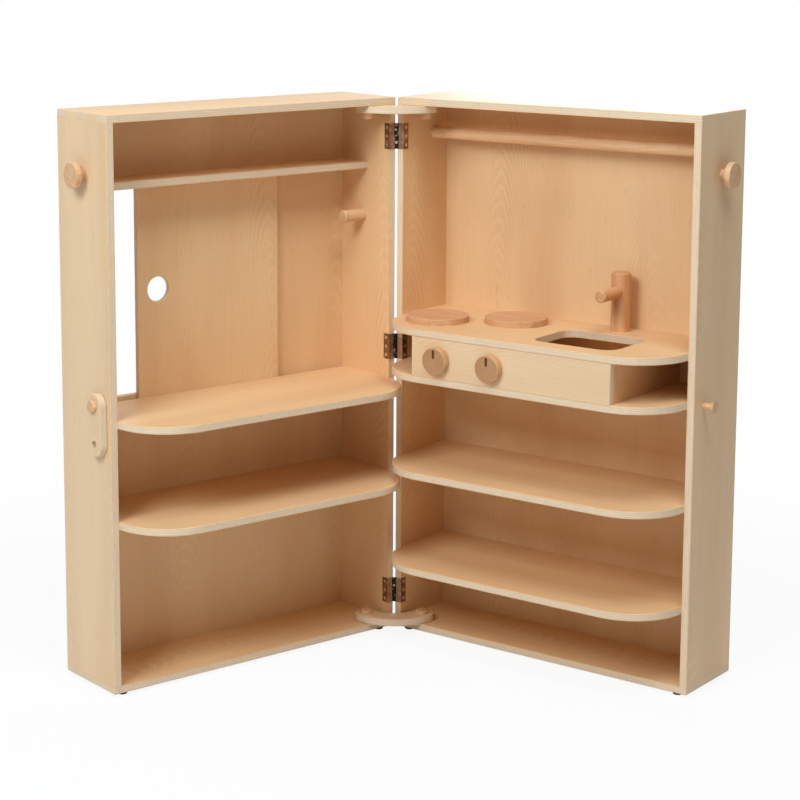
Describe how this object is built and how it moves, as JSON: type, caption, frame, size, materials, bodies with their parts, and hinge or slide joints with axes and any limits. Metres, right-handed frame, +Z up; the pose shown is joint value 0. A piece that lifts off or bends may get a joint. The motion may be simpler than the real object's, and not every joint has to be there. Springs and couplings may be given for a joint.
{
  "type": "folding play kitchen",
  "caption": "Folding wooden play kitchen: two hinged plywood cases with shelves, a worktop with hob discs, sink cut-out and tap, a window with a sliding panel, and crescent stays.",
  "frame": {"origin": "middle of the bounding box's base, on the floor under the opened kitchen", "axes": "+Z up; +X along the front of the right case, from the hinges to its outer side; +Y from its front to its back"},
  "size_m": [0.8572, 0.691, 0.9],
  "materials": {
    "birch_plywood": "satin clear oil on sanded birch plywood",
    "beech": "satin clear oil on turned beech",
    "hob_wood": "satin clear oil",
    "antique_brass": "dark antique finish",
    "foot_plastic": "matt dark brown"
  },
  "bodies": {
    "right_case": {"right_bottom_panel": "birch_plywood", "right_top_panel": "birch_plywood", "right_hinge_side": "birch_plywood", "right_outer_side": "birch_plywood", "right_back_panel": "birch_plywood", "worktop": "birch_plywood", "control_shelf": "birch_plywood", "right_middle_shelf": "birch_plywood", "right_lower_shelf": "birch_plywood", "control_board": "birch_plywood", "cubby_divider": "birch_plywood", "tap_post": "beech", "tap_spout": "beech", "hanging_rod": "beech", "right_outer_knob": "beech", "right_hinge_leaves": "antique_brass", "hinge_pins": "antique_brass", "right_hinge_screws": "antique_brass", "right_feet": "foot_plastic", "hob_disc_front": "hob_wood", "hob_disc_back": "hob_wood"},
    "left_case": {"left_bottom_panel": "birch_plywood", "left_top_panel": "birch_plywood", "left_hinge_side": "birch_plywood", "left_outer_side": "birch_plywood", "left_back_panel": "birch_plywood", "upper_shelf": "birch_plywood", "window_shelf": "birch_plywood", "left_lower_shelf": "birch_plywood", "inner_peg": "beech", "left_outer_knob": "beech", "latch_pivot_peg": "beech", "left_hinge_leaves": "antique_brass", "left_hinge_screws": "antique_brass", "left_feet": "foot_plastic"},
    "sliding_panel": {"sliding_panel": "birch_plywood"},
    "latch": {"latch_plate": "birch_plywood"},
    "locking_peg": {"locking_peg": "beech"},
    "left_control": {"left_control_knob": "beech", "left_control_spindle": "beech", "left_control_collar": "beech"},
    "right_control": {"right_control_knob": "beech", "right_control_spindle": "beech", "right_control_collar": "beech"},
    "bottom_stay": {"bottom_stay": "birch_plywood", "bottom_stay_pegs": "beech"},
    "top_stay": {"top_stay": "birch_plywood", "top_stay_pegs": "beech"}
  },
  "joints": [
    {"name": "case_fold", "type": "hinge", "parent": "right_case", "child": "left_case", "pos_m": [-0.1468, 0.20166, 0.4525], "axis": [0, 0, 1], "range_deg": [0, 105]},
    {"name": "bottom_stay_turn", "type": "hinge", "parent": "right_case", "child": "bottom_stay", "pos_m": [-0.10465, 0.22392, 0.017], "axis": [0, 0, 1], "range_deg": [0, 142.55]},
    {"name": "top_stay_turn", "type": "hinge", "parent": "right_case", "child": "top_stay", "pos_m": [-0.10465, 0.22392, 0.888], "axis": [0, 0, 1], "range_deg": [0, 142.55]},
    {"name": "window_slide", "type": "slide", "parent": "left_case", "child": "sliding_panel", "axis": [-0.2588, -0.9659, 0], "range_m": [-0.1425, 0.113]},
    {"name": "left_control_turn", "type": "hinge", "parent": "right_case", "child": "left_control", "pos_m": [0.001, 0.11096, 0.496], "axis": [0, -1, 0], "continuous": true},
    {"name": "right_control_turn", "type": "hinge", "parent": "right_case", "child": "right_control", "pos_m": [0.1007, 0.11096, 0.496], "axis": [0, -1, 0], "continuous": true},
    {"name": "latch_swing", "type": "hinge", "parent": "left_case", "child": "latch", "pos_m": [-0.31882, -0.32517, 0.457], "axis": [-0.2588, -0.9659, 0], "range_deg": [-90, 90]},
    {"name": "locking_peg_pull", "type": "slide", "parent": "right_case", "child": "locking_peg", "axis": [1, 0, 0], "range_m": [0, 0.034]}
  ],
  "couplings": [
    {"joint": "bottom_stay_turn", "follows": "case_fold", "ratio": 1.3571},
    {"joint": "top_stay_turn", "follows": "case_fold", "ratio": 1.3571}
  ]
}
